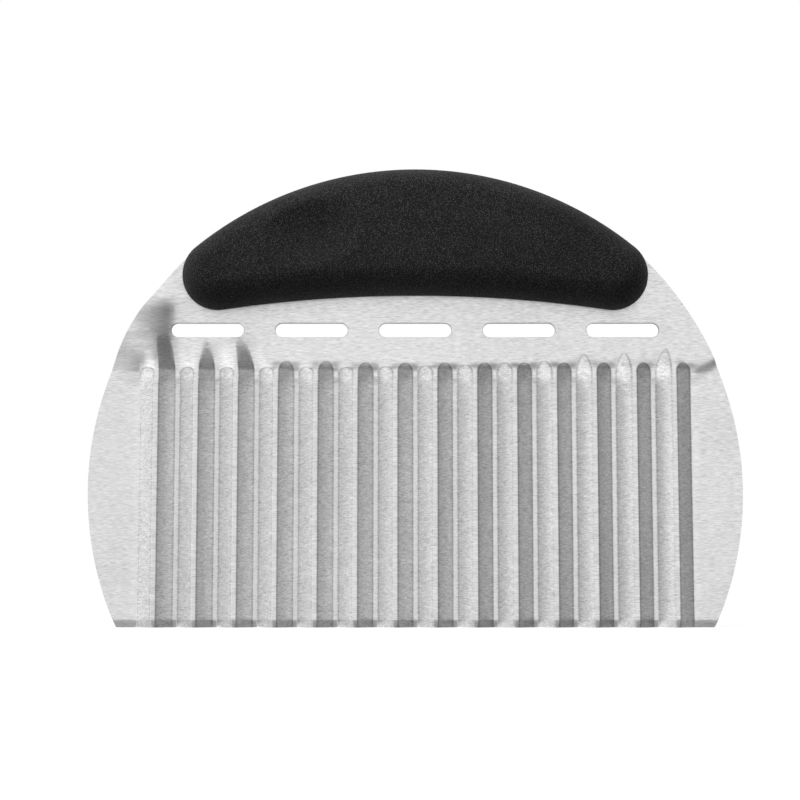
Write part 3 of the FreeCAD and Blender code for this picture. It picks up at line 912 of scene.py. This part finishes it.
def drawn_material(name, base, rough):
    """Drawn metal: a fine even grain, and soft patches where it is duller."""
    material, tree, shader, place = new_material(name)
    lines = use_group(tree, brushing, Vector=place, Along=1500.0, Across=1500.0)
    patches = use_group(tree, haze, Vector=place, Scale=200.0)
    shade = remap(tree, lines.outputs["Streaks"], 0.0, 1.0, 0.9, 1.05)
    roughness = remap(tree, patches.outputs["Mask"], 0.0, 1.0, rough, rough + 0.1)
    relief = add(tree, "ShaderNodeBump", Strength=0.2, Distance=SCRATCH_DEPTH,
                 Height=lines.outputs["Height"])
    fill(tree, shader, {"Base Color": tint(tree, base, shade), "Metallic": 1.0,
                        "Roughness": roughness, "Normal": relief.outputs[0]})
    return material


rubber = moulded_material("black_rubber", (0.0175, 0.0175, 0.0179, 1.0), 0.62, 4000.0, 1.0, 0.09, 1.7)
plastic = moulded_material("core_shell_plastic", (0.045, 0.045, 0.048, 1.0), 0.45, 1500.0, 0.3, 0.5, 0.25)
aluminium = drawn_material("drawn_aluminium", (0.80, 0.80, 0.81, 1.0), 0.3)
grip.data.materials.append(rubber)
inner_finish = {"front_core": plastic, "rear_core": plastic}
for node_name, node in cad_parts.items():
    finish = inner_finish.get(node_name, aluminium if node_name.endswith("_rivet") else None)
    if finish is not None:
        node.material_slots[0].material = finish
        print(node_name, "->", finish.name)


# %% [markdown]
# ## Studio light
# Bent steel shows its surroundings. In the photograph the left-facing slopes are light and the
# right-facing ones darker, so the room is bright in front and on the left and dim on the right. Only
# reflections see that room. The camera sees plain white behind the object, and everything else is lit by
# a plain sky that is brighter above. The room is told by its brightness around the compass, once at eye
# level and once below it, with an even ceiling above.

# %% The room's levels
# brightness by the angle around the compass in degrees, 0 in front and -90 on the left
ROOM = [(-180, 1.0), (-150, 0.95), (-120, 0.6), (-98, 0.75), (-80, 1.7), (-52, 1.35), (-40, 1.0),
        (-24, 0.85), (-8, 1.0), (8, 1.0), (22, 1.15), (32, 1.25), (40, 0.35), (75, 0.28), (92, 0.55),
        (120, 0.5), (150, 0.95), (180, 1.0)]
ROOM_BELOW = [(-180, 0.2), (-110, 0.6), (-75, 1.3), (-50, 0.7), (-25, 0.22), (25, 0.22), (60, 0.1),
              (110, 0.1), (180, 0.2)]
CEILING = 1.05
SKY_BELOW, SKY_ABOVE = 0.05, 0.6
# the Z of the directions over which below turns into eye level, eye level into ceiling, and the sky rises
EYE_LEVEL, OVERHEAD, SKY_RISE = (-0.7, -0.35), (0.5, 0.85), (-0.3, 0.6)


def level_ramp(tree, share, levels):
    """A ramp through (angle, brightness) stops, read at a share from 0 to 1 of the full turn."""
    ramp = add(tree, "ShaderNodeValToRGB", Fac=share)
    stops = ramp.color_ramp.elements
    for angle, _ in levels[1:-1]:
        stops.new((angle + 180) / 360)
    for stop, (_, level) in zip(stops, levels):
        stop.color = (level, level, level, 1.0)
    return ramp.outputs[0]


# %% World
world = bpy.data.worlds.new("studio")
bpy.context.scene.world = world
world.use_nodes = True
tree = world.node_tree
tree.nodes.clear()
direction = add(tree, "ShaderNodeSeparateXYZ", Vector=add(tree, "ShaderNodeTexCoord").outputs["Generated"])
upwards = direction.outputs["Z"]
forwards = math_node(tree, "MULTIPLY", direction.outputs["Y"], -1.0)
azimuth = math_node(tree, "ARCTAN2", direction.outputs["X"], forwards)
share = remap(tree, azimuth, -math.pi, math.pi, 0.0, 1.0)
level = add(tree, "ShaderNodeMix", {"data_type": "RGBA"}, in_0=remap(tree, upwards, *EYE_LEVEL, 0.0, 1.0),
            in_6=level_ramp(tree, share, ROOM_BELOW), in_7=level_ramp(tree, share, ROOM)).outputs[2]
level = add(tree, "ShaderNodeMix", {"data_type": "RGBA"}, in_0=remap(tree, upwards, *OVERHEAD, 0.0, 1.0),
            in_6=level, in_7=(CEILING, CEILING, CEILING, 1.0)).outputs[2]
room = add(tree, "ShaderNodeBackground", Color=level, Strength=1.0)
plain = add(tree, "ShaderNodeBackground", Color=(1.0, 1.0, 1.0, 1.0),
            Strength=remap(tree, upwards, *SKY_RISE, SKY_BELOW, SKY_ABOVE))
white = add(tree, "ShaderNodeBackground", Color=(1.0, 1.0, 1.0, 1.0), Strength=1.0)
path = add(tree, "ShaderNodeLightPath")
seen = add(tree, "ShaderNodeMixShader", in_0=path.outputs["Is Glossy Ray"], in_1=plain.outputs[0],
           in_2=room.outputs[0])
straight = math_node(tree, "MAXIMUM", path.outputs["Is Camera Ray"], path.outputs["Is Transmission Ray"])
seen = add(tree, "ShaderNodeMixShader", in_0=straight, in_1=seen.outputs[0], in_2=white.outputs[0])
add(tree, "ShaderNodeOutputWorld", Surface=seen.outputs[0])
bpy.context.scene.view_settings.view_transform = "Standard"


# %% Lamps
def soft_lamp(name, place, aim, size, power):
    """A square area lamp at a place, turned towards a point, with its power in watts."""
    lamp = bpy.data.lights.new(name, "AREA")
    lamp.size, lamp.energy = size, power
    lamp_object = bpy.data.objects.new(name, lamp)
    lamp_object.location = place
    lamp_object.visible_glossy = False
    way = mathutils.Vector(aim) - mathutils.Vector(place)
    lamp_object.rotation_euler = way.to_track_quat("-Z", "Y").to_euler()
    bpy.context.scene.collection.objects.link(lamp_object)
    print(name, power, "W")


MIDDLE = (0, 0, 0.06)
soft_lamp("key", (-0.55, -0.55, 0.85), MIDDLE, 0.7, 12.0)
soft_lamp("fill", (0.6, -0.45, 0.7), MIDDLE, 0.7, 1.5)


# %% [markdown]
# ## The floor
# The cutter stands on a plain floor. It scatters light like grey card, and a glow of its own, seen only
# by the camera and through glass, lifts it to white where no shadow falls. Reflections don't see the
# floor: the steel reflects the lower part of the room instead.

# %% Floor
FLOOR_REACH = 1.2
CARD_GREY, CARD_GLOW = 0.26, 0.82
floor_mesh = bpy.data.meshes.new("floor")
floor_corners = np.array([(-1, -1, 0), (1, -1, 0), (1, 1, 0), (-1, 1, 0)]) * FLOOR_REACH
floor_mesh.from_pydata(floor_corners.tolist(), [], [(0, 1, 2, 3)])
floor = bpy.data.objects.new("floor", floor_mesh)
bpy.context.scene.collection.objects.link(floor)
floor.visible_glossy = False

paper = bpy.data.materials.new("paper")
paper.use_nodes = True
tree = paper.node_tree
tree.nodes.clear()
path = add(tree, "ShaderNodeLightPath")
glow = math_node(tree, "MAXIMUM", path.outputs["Is Camera Ray"], path.outputs["Is Transmission Ray"])
glow = math_node(tree, "MULTIPLY", glow, CARD_GLOW)
card = add(tree, "ShaderNodeBsdfDiffuse", Color=(CARD_GREY, CARD_GREY, CARD_GREY, 1.0))
shine = add(tree, "ShaderNodeEmission", Strength=glow)
lit = add(tree, "ShaderNodeAddShader", in_0=card.outputs[0], in_1=shine.outputs[0])
add(tree, "ShaderNodeOutputMaterial", Surface=lit.outputs[0])
floor_mesh.materials.append(paper)
print("floor", 2 * FLOOR_REACH, "m wide")
